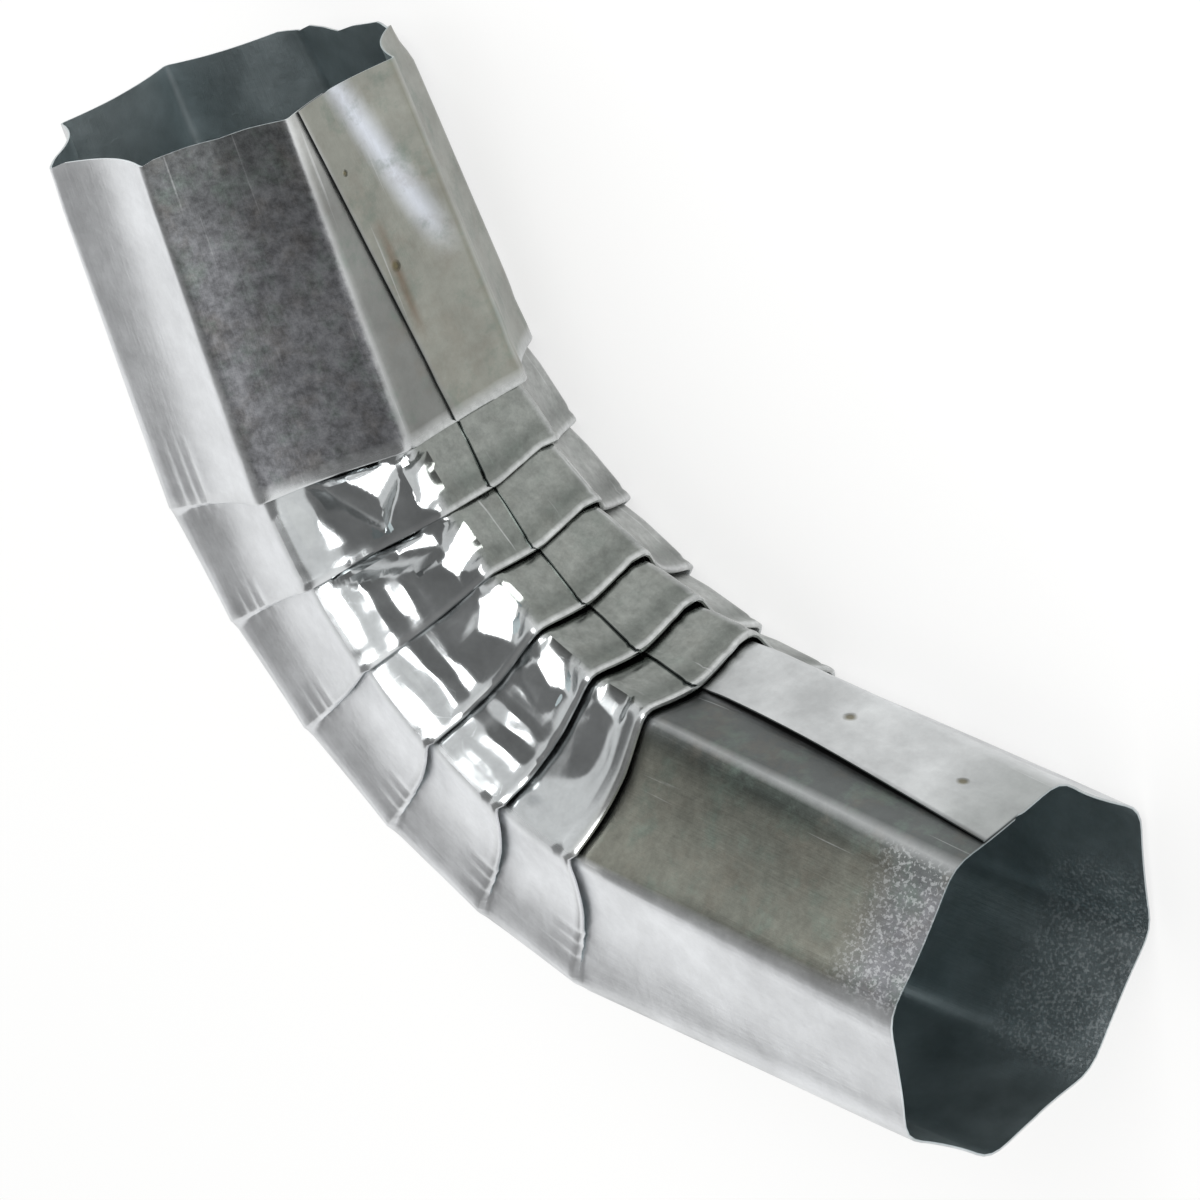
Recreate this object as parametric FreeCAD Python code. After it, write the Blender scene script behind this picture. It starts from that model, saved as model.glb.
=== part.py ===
"""Downspout elbow: one fluted sheet-metal tube, bent by six pleats pressed into its inner side.

The frame, in millimetres: the origin is the centre of the outlet rim, +X points out of the outlet
along its arm, +Y points to the inner side of the bend (the throat) and +Z is the normal of the plane
that the bend lies in. The tube lies on its side, as it comes to rest on a floor.

Angles round the tube start at the throat and grow towards +Z. Eight ridges stand at 22.5 degrees and
every 45 degrees from there, with a hollow panel, the flute, between each two.
"""

import FreeCAD, Part
import math
import os

FLUTES = 8
RIDGE_STEP = 360.0 / FLUTES
FIRST_RIDGE = RIDGE_STEP / 2

SIZES = (
    # alias, value, what it is
    ("bend_angle", 75.0, "angle between the two arms' axes, in degrees"),
    ("crimp_count", 6, "pleats that share the bend"),
    ("crimp_pitch", 23.9, "centre line from one pleat to the next"),
    ("inlet_arm", 75.4, "centre line from the inlet rim to the first pleat"),
    ("outlet_arm", 83.7, "centre line from the last pleat to the outlet rim"),
    ("inlet_ridge_throat", 43.6, "centre to ridge circle at the inlet rim, towards the throat"),
    ("inlet_ridge_side", 38.6, "centre to ridge circle at the inlet rim, along Z"),
    ("lip_ridge_throat", 45.9, "centre to ridge circle at a pleat's lip, towards the throat"),
    ("lip_ridge_side", 43.1, "centre to ridge circle at a pleat's lip, along Z"),
    ("outlet_ridge_throat", 40.0, "centre to ridge circle at the outlet rim, towards the throat"),
    ("outlet_ridge_side", 41.6, "centre to ridge circle at the outlet rim, along Z"),
    ("inlet_hollow", 3.0, "depth of a flute below the line between its ridges, at the inlet rim"),
    ("lip_hollow", 1.7, "the same at a pleat's lip"),
    ("outlet_hollow", 1.5, "the same at the outlet rim"),
    ("inlet_crest", 1.6, "width of a ridge's flat crest at the inlet rim"),
    ("lip_crest", 2.4, "the same at the pleats"),
    ("outlet_crest", 3.6, "the same at the outlet rim"),
    ("sheet_wall", 0.5, "thickness of the sheet"),
    ("fold_gap", 0.3, "clear gap between two folded layers of the sheet"),
    ("pleat_depth", 8.5, "how far a pleat is folded back under its lip, at the throat"),
    ("pleat_full_to", 50.0, "angle from the throat up to which a pleat has its full depth"),
    ("pleat_open_at", 95.0, "angle from the throat where a pleat lies open, as a step in the sheet"),
    ("pleat_gone_at", 116.0, "angle from the throat where that step has died out"),
    ("pleat_run", 2.4, "length along the tube that a pleat takes up where it is open"),
    ("seam_inlet", 16.6, "angle of the lap edge at the inlet rim"),
    ("seam_pleat", 2.4, "angle of the lap edge at the pleats"),
    ("seam_outlet", 10.0, "angle of the lap edge at the outlet rim"),
    ("seam_step", 3.0, "angle by which the lap edge jumps aside under each lip"),
    ("lap_width", 13.0, "angle by which the two long edges of the sheet overlap"),
    ("lap_ramp", 4.0, "angle in which the upper sheet climbs onto the lower one"),
    ("arm_parts", 4, "lengths that each arm is drawn in"),
    ("lap_in_fold", 0.06, "height of the lap's edge inside a pleat, where it is pressed flat"),
)


def make_sheet(document):
    """Writes the driving sizes to a spreadsheet, one row each, and gives it back."""
    sheet = document.addObject("Spreadsheet::Sheet", "Sizes")
    for row, (alias, value, words) in enumerate(SIZES, start=1):
        sheet.set(f"A{row}", words)
        sheet.set(f"B{row}", str(value))
        sheet.setAlias(f"B{row}", alias)
    document.recompute()
    return sheet


def mix(start, end, share):
    """The value that lies a share of the way from start to end."""
    return start + (end - start) * share


def limited(share):
    """A share kept between 0 and 1."""
    return min(max(share, 0.0), 1.0)


def mixed(start, end, share):
    """An outline that lies a share of the way from one outline to another."""
    return [
        tuple(None if first is None else mix(first, second, share) for first, second in zip(*pieces))
        for pieces in zip(start, end)
    ]


def edges(outline):
    """The edges that an outline stands for: a line or an arc for each of its pieces."""
    return [
        Part.makeLine(start, end) if middle is None else Part.Arc(start, middle, end).toShape()
        for start, middle, end in outline
    ]


class Ring:
    """A cross-section of the tube: where it is, how it faces, its ridges, flutes and lap edge."""

    def __init__(self, centre, heading, tilt, ridges, hollow, crest, seam):
        self.centre = centre
        self.along = FreeCAD.Vector(math.cos(heading), -math.sin(heading), 0)
        self.throat = FreeCAD.Vector(math.sin(tilt), math.cos(tilt), 0)
        self.ridge_throat, self.ridge_side = ridges
        self.hollow = hollow
        self.crest = crest
        self.seam = seam
        self.panel_width = (self.ridge_throat + self.ridge_side) * math.sin(math.radians(RIDGE_STEP / 2))

    def corner(self, ridge, inset):
        """Where the two panels at a ridge would meet if it weren't rounded, inset from the outside."""
        angle = math.radians(FIRST_RIDGE + ridge * RIDGE_STEP)
        corner_inset = inset / math.cos(math.radians(RIDGE_STEP / 2))
        return (
            (self.ridge_throat - corner_inset) * math.cos(angle),
            (self.ridge_side - corner_inset) * math.sin(angle),
        )

    def point(self, angle, inset):
        """The point of the ring at an angle in degrees, inset from the outside."""
        panel = math.floor((angle - FIRST_RIDGE) / RIDGE_STEP)
        share = (angle - FIRST_RIDGE) / RIDGE_STEP - panel
        before = self.corner(panel, inset)
        after = self.corner(panel + 1, inset)
        facing = math.radians(FIRST_RIDGE + (panel + 0.5) * RIDGE_STEP)
        dip = self.hollow * 4 * share * (1 - share)
        to_throat = mix(before[0], after[0], share) - dip * math.cos(facing)
        to_side = mix(before[1], after[1], share) - dip * math.sin(facing)
        return self.centre + self.throat * to_throat + FreeCAD.Vector(0, 0, to_side)

    def crest_edges(self):
        """The angles of the two edges of every ridge's narrow flat crest."""
        half = self.crest / 2 / self.panel_width * RIDGE_STEP
        ridges = [FIRST_RIDGE + number * RIDGE_STEP for number in range(FLUTES)]
        return [(ridge - half, ridge + half) for ridge in ridges]


class Elbow:
    """Works out the elbow's rings from the sheet, and its outside and inside skins from the rings."""

    def __init__(self, sheet):
        self.sheet = sheet
        self.wall = sheet.sheet_wall
        self.gap = sheet.fold_gap
        self.under = 2 * self.wall + self.gap
        self.below = self.under + self.gap
        self.rings = self.make_rings()

    def make_rings(self):
        """The rings from the inlet rim, through each pleat, to the outlet rim."""
        sheet = self.sheet
        count = int(sheet.crimp_count)
        turn = math.radians(sheet.bend_angle) / count
        heading = 0.0
        centre = FreeCAD.Vector(0, 0, 0)
        ridges = (sheet.outlet_ridge_throat, sheet.outlet_ridge_side)
        rings = [
            Ring(centre, 0.0, 0.0, ridges, sheet.outlet_hollow, sheet.outlet_crest, sheet.seam_outlet)
        ]
        step = sheet.outlet_arm
        ridges = (sheet.lip_ridge_throat, sheet.lip_ridge_side)
        for _ in range(count):
            centre = centre - rings[-1].along * step
            tilt = heading + turn / 2
            heading += turn
            rings.append(
                Ring(centre, heading, tilt, ridges, sheet.lip_hollow, sheet.lip_crest, sheet.seam_pleat)
            )
            step = sheet.crimp_pitch
        centre = centre - rings[-1].along * sheet.inlet_arm
        ridges = (sheet.inlet_ridge_throat, sheet.inlet_ridge_side)
        rings.append(
            Ring(centre, heading, heading, ridges, sheet.inlet_hollow, sheet.inlet_crest, sheet.seam_inlet)
        )
        rings.reverse()
        return rings

    def fading(self, angle, starts, ends):
        """Runs from 1 to 0 between two angles from the throat, on both sides of it."""
        from_throat = abs((angle + 180) % 360 - 180)
        return 1 - limited((from_throat - starts) / (ends - starts))

    def folded(self, angle):
        """How much of a pleat's depth is left at an angle."""
        return self.fading(angle, self.sheet.pleat_full_to, self.sheet.pleat_open_at)

    def stacked(self, angle):
        """How much of the step that an open pleat makes is left at an angle."""
        return self.fading(angle, self.sheet.pleat_open_at, self.sheet.pleat_gone_at)

    def generator(self, number, angle):
        """The direction in which the segment that ends at a ring runs along the tube at an angle."""
        upstream = self.rings[number - 1]
        start_inset = self.below * self.stacked(angle) if number > 1 else 0.0
        return (self.rings[number].point(angle, 0.0) - upstream.point(angle, start_inset)).normalize()

    def pieces(self, ring, outside, seam, lap_start, ramp_start):
        """The angles that a wire's pieces run between, and whether each piece is straight."""
        crests = ring.crest_edges()
        start = seam if outside else lap_start
        pieces = [(start, crests[0][0], False)]
        for crest, next_crest in zip(crests, crests[1:]):
            middle = (crest[1] + next_crest[0]) / 2
            pieces.append((*crest, True))
            pieces.append((crest[1], middle, False))
            pieces.append((middle, next_crest[0], False))
        pieces.append((*crests[-1], True))
        pieces.append((crests[-1][1], 360 + ramp_start, False))
        pieces.append((360 + ramp_start, 360 + lap_start, True))
        if outside:
            pieces.append((360 + lap_start, 360 + seam, False))
        return pieces

    def outline(self, number, outside, aside, lap_rise, place):
        """An outline round a ring: the start, middle and end of each of its pieces.

        aside is which way the lap's edge jumps there, and lap_rise how high the upper sheet of the lap
        stands. place gives the inset from the outside and the shift along the tube at an angle. The
        last piece is the step down at the lap's edge.
        """
        ring = self.rings[number]
        seam = ring.seam + aside * self.sheet.seam_step / 2
        lap_start = seam - self.sheet.lap_width
        ramp_start = lap_start - self.sheet.lap_ramp

        def point(angle):
            inset, shift = place(angle)
            climbed = limited((angle - 360 - ramp_start) / self.sheet.lap_ramp)
            flat = ring.point(angle, inset - climbed * lap_rise)
            return flat + self.generator(number, angle) * shift if shift else flat

        outline = []
        for before, after, straight in self.pieces(ring, outside, seam, lap_start, ramp_start):
            outline.append((point(before), None if straight else point((before + after) / 2), point(after)))
        outline.append((outline[-1][2], None, outline[0][0]))
        return outline

    def rim_outline(self, number, outside):
        """An outline round a rim, where the sheet is a single wall."""
        inset = 0.0 if outside else self.wall
        return self.outline(number, outside, 0, self.wall, lambda angle: (inset, 0.0))

    def fold_outline(self, number, outside, aside, lap_rise, folded_place, open_place):
        """An outline along one of a pleat's folds.

        folded_place is the inset and the depth where the pleat is folded. open_place is how much of
        the drop to the next segment, and of the run along the tube, lies before it where it is open.
        """
        wall_inset = 0.0 if outside else self.wall
        inset, depth = folded_place
        drop, run = open_place

        def place(angle):
            folded = self.folded(angle)
            stacked = self.stacked(angle)
            open_inset = wall_inset + drop * self.below
            shift = mix(run * self.sheet.pleat_run, -depth, folded)
            return mix(wall_inset, mix(open_inset, inset, folded), stacked), shift

        return self.outline(number, outside, aside, lap_rise, place)

    def outside_outlines(self):
        """The outside skin's outlines in order: over each lip, back under it and out again."""
        lap = self.sheet.lap_in_fold
        crease_place = ((self.under + self.below) / 2, self.sheet.pleat_depth - self.wall)
        folds = (
            # way the lap's edge jumps, rise of the lap, place where folded, place where open
            (1, self.wall, (0.0, 0.0), (0.0, 0.0)),
            (-1, lap, (self.under, 0.0), (0.33, 0.33)),
            (-1, lap, crease_place, (0.67, 0.67)),
            (-1, lap, (self.below, 0.0), (1.0, 1.0)),
        )
        return self.skin_outlines(True, folds)

    def inside_outlines(self):
        """The inside skin's outlines in order: up under each lip, back, round the fold's tip and out."""
        lap = self.sheet.lap_in_fold
        depth = self.sheet.pleat_depth
        tip_inset = self.below + self.wall
        folds = (
            (1, lap, (self.wall + self.gap / 2, self.wall), (0.0, -0.15)),
            (1, lap, (self.wall + self.gap, depth), (0.33, 0.2)),
            (-1, lap, (tip_inset, depth), (0.67, 0.55)),
            (-1, lap, (tip_inset, 0.0), (1.0, 1.0)),
        )
        return self.skin_outlines(False, folds)

    def skin_outlines(self, outside, folds):
        """A skin's outlines from rim to rim, with the same folds at each pleat."""
        outlines = [self.rim_outline(0, outside)]
        for number in range(1, len(self.rings) - 1):
            outlines += [self.fold_outline(number, outside, *fold) for fold in folds]
        outlines.append(self.rim_outline(-1, outside))
        return outlines

    def with_arm_parts(self, outlines):
        """The same outlines with each arm drawn in several lengths."""
        parts = int(self.sheet.arm_parts)
        shares = [part / parts for part in range(1, parts)]
        inlet = [mixed(outlines[0], outlines[1], share) for share in shares]
        outlet = [mixed(outlines[-2], outlines[-1], share) for share in shares]
        return [outlines[0], *inlet, *outlines[1:-1], *outlet, outlines[-1]]

    def solid(self):
        """The sheet as one closed solid: the strips of both skins, and a flat face at each rim."""
        faces = []
        rims = []
        for outlines in (self.outside_outlines(), self.inside_outlines()):
            wires = [edges(outline) for outline in self.with_arm_parts(outlines)]
            for before, after in zip(wires, wires[1:]):
                faces += [Part.makeRuledSurface(first, second) for first, second in zip(before, after)]
            rims.append((Part.Wire(wires[0]), Part.Wire(wires[-1])))
        for outer, inner in zip(*rims):
            faces.append(Part.makeFace([outer, inner], "Part::FaceMakerBullseye"))
        skin = Part.makeCompound(faces)
        skin.sewShape()
        return Part.Solid(skin.Shells[0])


def add_elbow(document, sheet):
    """The elbow's only piece."""
    piece = document.addObject("Part::Feature", "Elbow")
    piece.Label = "elbow"
    piece.Shape = Elbow(sheet).solid()
    piece.Placement = FreeCAD.Placement()
    return piece


def check(document, pieces):
    """Stops if an object of the document failed, or a piece isn't one sound solid."""
    for item in document.Objects:
        if "Invalid" in item.State or "Error" in item.State:
            raise RuntimeError(f"{item.Name} failed: {item.State}")
    for piece in pieces:
        if piece.Shape.isNull() or not piece.Shape.isValid():
            raise RuntimeError(f"{piece.Label} isn't a valid shape")
        if len(piece.Shape.Solids) != 1 or piece.Shape.Volume <= 0:
            raise RuntimeError(f"{piece.Label} isn't one solid")


def main():
    """Builds the elbow and writes it out."""
    document = FreeCAD.newDocument("DownspoutElbow")
    sheet = make_sheet(document)
    pieces = [add_elbow(document, sheet)]
    document.recompute()
    check(document, pieces)
    os.makedirs("parts", exist_ok=True)
    for piece in pieces:
        piece.Shape.exportStep(f"parts/{piece.Label}.step")
        box = piece.Shape.BoundBox
        print(
            f"{piece.Label}: volume {piece.Shape.Volume:.0f} mm3,"
            f" box {box.XLength:.1f} x {box.YLength:.1f} x {box.ZLength:.1f} mm"
        )


if __name__ == "__main__":
    main()
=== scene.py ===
"""The look of a galvanised downspout elbow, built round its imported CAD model.

The frame, in metres: the origin is the centre of the outlet rim, +X points out of the outlet along its
arm, +Y points to the throat, the inner side of the bend, and +Z is the normal of the bend's plane. The
elbow lies on its side on the floor.

Angles round the tube are in degrees from the throat and grow towards +Z. Sizes of the sheet are in
millimetres and become metres where a mesh is made.
"""

import logging
import math
from dataclasses import dataclass, field
from enum import Enum

import bpy
import numpy as np
from mathutils import Matrix, Vector


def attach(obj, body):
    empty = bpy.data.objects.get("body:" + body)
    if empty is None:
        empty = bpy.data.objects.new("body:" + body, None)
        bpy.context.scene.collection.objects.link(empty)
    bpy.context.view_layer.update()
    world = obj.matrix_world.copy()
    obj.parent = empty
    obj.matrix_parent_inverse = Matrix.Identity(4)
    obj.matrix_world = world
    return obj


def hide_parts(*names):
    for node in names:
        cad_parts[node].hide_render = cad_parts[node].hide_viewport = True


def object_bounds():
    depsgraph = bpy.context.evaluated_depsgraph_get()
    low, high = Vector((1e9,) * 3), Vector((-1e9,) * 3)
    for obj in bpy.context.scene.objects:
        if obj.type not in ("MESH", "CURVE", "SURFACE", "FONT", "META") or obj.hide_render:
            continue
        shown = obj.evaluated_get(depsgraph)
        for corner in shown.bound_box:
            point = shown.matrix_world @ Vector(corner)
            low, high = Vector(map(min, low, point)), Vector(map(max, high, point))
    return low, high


log = logging.getLogger("elbow")

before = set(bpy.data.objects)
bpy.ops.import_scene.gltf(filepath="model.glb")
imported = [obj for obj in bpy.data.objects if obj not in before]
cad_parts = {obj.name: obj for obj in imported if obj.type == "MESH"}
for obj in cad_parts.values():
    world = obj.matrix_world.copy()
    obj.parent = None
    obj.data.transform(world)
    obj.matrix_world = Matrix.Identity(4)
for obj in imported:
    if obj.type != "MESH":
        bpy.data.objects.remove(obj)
CAD_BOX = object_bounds()

MM = 0.001
FLUTES = 8
RIDGE_STEP = 360.0 / FLUTES
FIRST_RIDGE = RIDGE_STEP / 2
MAP_START = 20.0
MAP_RADIUS = 42.0


def srgb(code: str) -> tuple[float, float, float, float]:
    """Turns an sRGB hex colour into linear red, green and blue.

    Args:
        code: Six hex digits, with or without a leading hash sign.

    Returns:
        The linear colour, with an alpha of 1.
    """
    digits = code.lstrip("#")
    channels = [int(digits[place:place + 2], 16) / 255 for place in (0, 2, 4)]
    linear = [value / 12.92 if value <= 0.04045 else ((value + 0.055) / 1.055) ** 2.4 for value in channels]
    return (linear[0], linear[1], linear[2], 1.0)


def add_node(tree: bpy.types.NodeTree, kind: str, links: dict | None = None, **settings: object) -> bpy.types.Node:
    """Adds a node, with its settings and what feeds its inputs.

    Args:
        tree: The node tree that gets the node.
        kind: The node's type name.
        links: For each input, by name or number, a socket that feeds it or the value it is set to.
        settings: Properties of the node itself.

    Returns:
        The new node.
    """
    node = tree.nodes.new(kind)
    for name, value in settings.items():
        setattr(node, name, value)
    for key, value in (links or {}).items():
        if isinstance(value, bpy.types.NodeSocket):
            tree.links.new(value, node.inputs[key])
        else:
            node.inputs[key].default_value = value
    return node


def smooth(share: np.ndarray | float) -> np.ndarray:
    """Eases a share, kept between 0 and 1, in and out."""
    kept = np.clip(share, 0.0, 1.0)
    return kept * kept * (3 - 2 * kept)


def hill(values: np.ndarray, middle: float, reach: float) -> np.ndarray:
    """A straight-sided hill: 1 at the middle, 0 from the reach on."""
    return np.clip(1 - np.abs(values - middle) / reach, 0.0, 1.0)


def plateau(values: np.ndarray, low: float, high: float, edge: float) -> np.ndarray:
    """1 between low and high, with soft edges of the given width outside them."""
    return smooth((values - low + edge) / edge) * smooth((high + edge - values) / edge)


def zigzag(values: np.ndarray) -> np.ndarray:
    """A triangle wave between -1 and 1 with a period of 1."""
    return 4 * np.abs(values - np.floor(values + 0.5)) - 1


def from_throat(angles: np.ndarray) -> np.ndarray:
    """The same angles between -180 and 180 degrees."""
    return (angles + 180) % 360 - 180


def sheet_width(angles: np.ndarray | float) -> np.ndarray | float:
    """How far across the flat sheet the angles round the tube lie, in millimetres."""
    return np.radians(angles + MAP_START) * MAP_RADIUS


@dataclass
class Ring:
    """A cross-section of the tube: where it is, how it faces, its ridges, flutes and lap edge."""

    centre: np.ndarray
    heading: float
    tilt: float
    ridge_throat: float
    ridge_side: float
    hollow: float
    crest: float
    seam: float

    @property
    def along(self) -> np.ndarray:
        """The direction of the centre line downstream of the ring."""
        return np.array([math.cos(self.heading), -math.sin(self.heading), 0.0])

    @property
    def throat(self) -> np.ndarray:
        """The direction from the centre to the throat."""
        return np.array([math.sin(self.tilt), math.cos(self.tilt), 0.0])

    @property
    def crest_half(self) -> float:
        """Half the angle that a ridge's rounded crest takes up."""
        panel_width = (self.ridge_throat + self.ridge_side) * math.sin(math.radians(RIDGE_STEP / 2))
        return self.crest / 2 / panel_width * RIDGE_STEP

    def corner(self, ridge: np.ndarray, inset: np.ndarray) -> tuple[np.ndarray, np.ndarray]:
        """Where the two panels at a ridge would meet if it weren't rounded.

        Args:
            ridge: The ridge's number from the first one.
            inset: How far inside the outer skin, in millimetres.

        Returns:
            The distances towards the throat and to the side.
        """
        angle = np.radians(FIRST_RIDGE + ridge * RIDGE_STEP)
        corner_inset = inset / math.cos(math.radians(RIDGE_STEP / 2))
        return (self.ridge_throat - corner_inset) * np.cos(angle), (self.ridge_side - corner_inset) * np.sin(angle)

    def flat(self, angles: np.ndarray, inset: np.ndarray) -> tuple[np.ndarray, np.ndarray]:
        """Points of the ring, as if its ridges were sharp, across its own plane.

        Args:
            angles: Angles round the tube.
            inset: How far inside the outer skin, in millimetres.

        Returns:
            The distances towards the throat and to the side.
        """
        turns = (angles - FIRST_RIDGE) / RIDGE_STEP
        panel = np.floor(turns)
        share = turns - panel
        before = self.corner(panel, inset)
        after = self.corner(panel + 1, inset)
        facing = np.radians(FIRST_RIDGE + (panel + 0.5) * RIDGE_STEP)
        dip = self.hollow * 4 * share * (1 - share)
        to_throat = before[0] + (after[0] - before[0]) * share - dip * np.cos(facing)
        to_side = before[1] + (after[1] - before[1]) * share - dip * np.sin(facing)
        return to_throat, to_side

    def points(self, angles: np.ndarray, inset: np.ndarray) -> np.ndarray:
        """Points of the ring with rounded ridges.

        Args:
            angles: Angles round the tube.
            inset: How far inside the outer skin, in millimetres.

        Returns:
            One point a row, in millimetres.
        """
        inset = np.broadcast_to(inset, angles.shape)
        nearest = np.round((angles - FIRST_RIDGE) / RIDGE_STEP)
        middle = FIRST_RIDGE + nearest * RIDGE_STEP
        half = self.crest_half
        share = np.clip((angles - middle + half) / (2 * half), 0.0, 1.0)
        rounded = np.abs(angles - middle) < half
        plain = self.flat(angles, inset)
        start = self.flat(middle - half, inset)
        top = self.corner(nearest, inset)
        end = self.flat(middle + half, inset)
        across = [
            np.where(rounded, (1 - share) ** 2 * s + 2 * share * (1 - share) * t + share ** 2 * e, p)
            for p, s, t, e in zip(plain, start, top, end)
        ]
        up = np.array([0.0, 0.0, 1.0])
        return self.centre + across[0][:, None] * self.throat + across[1][:, None] * up


@dataclass
class Row:
    """One row of the sheet across its width, on both of its skins."""

    outer: np.ndarray
    inner: np.ndarray
    angles: np.ndarray
    path: np.ndarray
    below_lip: float
    # How much of a lip's rolled edge the row is; that edge is rubbed bright and has a painted highlight.
    worn_and_highlit: float = 0.0


@dataclass
class PleatedTube:
    """The elbow's sheet: a fluted tube whose long edges lap, bent by pleats on its inner side."""

    bend_angle: float = 75.0
    crimp_count: int = 6
    crimp_pitch: float = 23.9
    inlet_arm: float = 75.4
    outlet_arm: float = 83.7
    inlet_ridges: tuple[float, float] = (43.6, 38.6)
    lip_ridges: tuple[float, float] = (45.9, 43.1)
    outlet_ridges: tuple[float, float] = (40.0, 41.6)
    hollows: tuple[float, float, float] = (3.0, 1.7, 0.8)
    crests: tuple[float, float, float] = (2.4, 6.4, 11.0)
    seams: tuple[float, float, float] = (16.6, 2.4, 10.0)
    wall: float = 0.5
    fold_gap: float = 0.3
    pleat_depth: float = 8.5
    pleat_full_to: float = 62.0
    pleat_open_at: float = 110.0
    pleat_gone_at: float = 117.0
    pleat_run: float = 2.4
    seam_step: float = 3.0
    lap_width: float = 13.0
    lap_ramp: float = 4.0
    hidden_share: float = 0.4
    arm_rows: tuple[int, int] = (24, 28)
    pleat_rows: int = 17
    lip_rows: int = 5
    columns: tuple[int, ...] = (5, 14, 38, 26, 14, 12, 14, 26, 38, 14, 3, 9)
    crest_columns: int = 4
    rings: list[Ring] = field(init=False)

    def __post_init__(self) -> None:
        """Sets the rings out along the bend."""
        self.under = 2 * self.wall + self.fold_gap
        self.below = self.under + self.fold_gap
        self.rings = self.set_out_rings()

    def set_out_rings(self) -> list[Ring]:
        """The rings from the inlet rim, through each pleat, to the outlet rim."""
        turn = math.radians(self.bend_angle) / self.crimp_count
        heading = 0.0
        centre = np.zeros(3)
        rings = [Ring(centre, 0.0, 0.0, *self.outlet_ridges, self.hollows[2], self.crests[2], self.seams[2])]
        step = self.outlet_arm
        for _ in range(self.crimp_count):
            centre = centre - rings[-1].along * step
            tilt = heading + turn / 2
            heading += turn
            rings.append(Ring(centre, heading, tilt, *self.lip_ridges, self.hollows[1], self.crests[1], self.seams[1]))
            step = self.crimp_pitch
        centre = centre - rings[-1].along * self.inlet_arm
        rings.append(Ring(centre, heading, heading, *self.inlet_ridges, self.hollows[0], self.crests[0], self.seams[0]))
        rings.reverse()
        return rings

    def fading(self, angles: np.ndarray, starts: float, ends: float) -> np.ndarray:
        """Runs from 1 to 0 between two angles from the throat, on both sides of it."""
        return 1 - np.clip((np.abs(from_throat(angles)) - starts) / (ends - starts), 0.0, 1.0)

    def folded(self, angles: np.ndarray) -> np.ndarray:
        """How much of a pleat's depth is left at each angle."""
        return self.fading(angles, self.pleat_full_to, self.pleat_open_at)

    def stacked(self, angles: np.ndarray) -> np.ndarray:
        """How much of the step that an open pleat makes is left at each angle."""
        return self.fading(angles, self.pleat_open_at, self.pleat_gone_at)

    def across(self, ring: Ring, aside: float) -> np.ndarray:
        """The angles of a row's points, from the sheet's inner long edge to its outer one.

        Args:
            ring: The ring that the row belongs to.
            aside: Which way the lap's edge jumps there, from -1 to 1.

        Returns:
            One angle for each column, growing.
        """
        seam = ring.seam + aside * self.seam_step / 2
        half = ring.crest_half
        stops = [seam - self.lap_width, seam]
        counts = [self.columns[0], self.columns[1]]
        for ridge in range(FLUTES):
            middle = FIRST_RIDGE + ridge * RIDGE_STEP
            stops += [middle - half, middle + half]
            counts += [self.crest_columns, self.columns[min(ridge + 2, FLUTES + 1)]]
        stops += [360 + seam - self.lap_width - self.lap_ramp, 360 + seam - self.lap_width, 360 + seam]
        counts[-1] = self.columns[-3]
        counts += [self.columns[-2], self.columns[-1]]
        runs = [np.linspace(low, high, count, endpoint=False) for low, high, count in zip(stops, stops[1:], counts)]
        return np.concatenate([*runs, [stops[-1]]])

    def climbed(self, angles: np.ndarray) -> np.ndarray:
        """How far the sheet has climbed onto its own inner edge, from 0 to 1."""
        lap_start = angles[-1] - self.lap_width
        return smooth((angles - lap_start + self.lap_ramp) / self.lap_ramp)

    def lap_gap(self, path: float, angles: np.ndarray) -> np.ndarray:
        """The gap under the lap's free edge: it stands off most on the outlet arm.

        Args:
            path: The row's place, in segments from the inlet rim.
            angles: The row's angles.

        Returns:
            The gap at each column, in millimetres.
        """
        on_arm = max(path - self.crimp_count, 0.0)
        gap = 0.12 + 1.1 * math.sin(math.pi * min(on_arm, 1.0) ** 0.8)
        return 0.05 + gap * np.clip(1 - (angles[-1] - angles) / self.lap_width, 0.0, 1.0)

    def generators(self, number: int, angles: np.ndarray) -> np.ndarray:
        """The directions in which the segment that ends at a ring runs along the tube."""
        start_inset = self.below * self.stacked(angles) if number > 1 else np.zeros_like(angles)
        runs = self.rings[number].points(angles, np.zeros_like(angles))
        runs = runs - self.rings[number - 1].points(angles, start_inset)
        return runs / np.linalg.norm(runs, axis=1)[:, None]

    def row(self, number: int, outer: tuple[float, float], inner: tuple[float, float], opened: float,
            aside: float, hidden: float, below_lip: float = 0.0) -> Row:
        """A row of the sheet along one of a ring's folds.

        Args:
            number: The ring's number from the inlet.
            outer: The outer skin's inset and shift along the tube where the pleat is folded.
            inner: The same for the inner skin.
            opened: How far along the step the row lies where the pleat is open, from 0 to 1.
            aside: Which way the lap's edge jumps there.
            hidden: 1 where the row lies inside a pleat and its lap is pressed thin.
            below_lip: 1 where the row starts the next segment.

        Returns:
            The row on both skins.
        """
        ring = self.rings[number]
        angles = self.across(ring, aside)
        folded = self.folded(angles)
        stacked = self.stacked(angles)
        pressed = 1 - (1 - self.hidden_share) * hidden
        climb = self.climbed(angles)
        path = number - 1 if number == 0 else number
        rise = climb * (self.wall * pressed + self.lap_gap(float(path) + below_lip * 0.01, angles) * pressed)
        lapped = np.maximum(climb, plateau(angles, angles[0], angles[0] + self.lap_width, 3.0))
        thin = self.wall * (1 - pressed) * lapped
        length = self.crimp_pitch if 1 < number <= self.crimp_count else self.inlet_arm
        skins = []
        shifts = []
        for (inset, shift), wall in ((outer, 0.0), (inner, self.wall)):
            open_inset = wall + opened * self.below
            place = wall + (open_inset + (inset - open_inset) * folded - wall) * stacked
            moved = (opened * self.pleat_run) * (1 - folded) + shift * folded
            if number in (0, len(self.rings) - 1):
                place = np.full_like(angles, wall)
                moved = np.zeros_like(angles)
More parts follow.
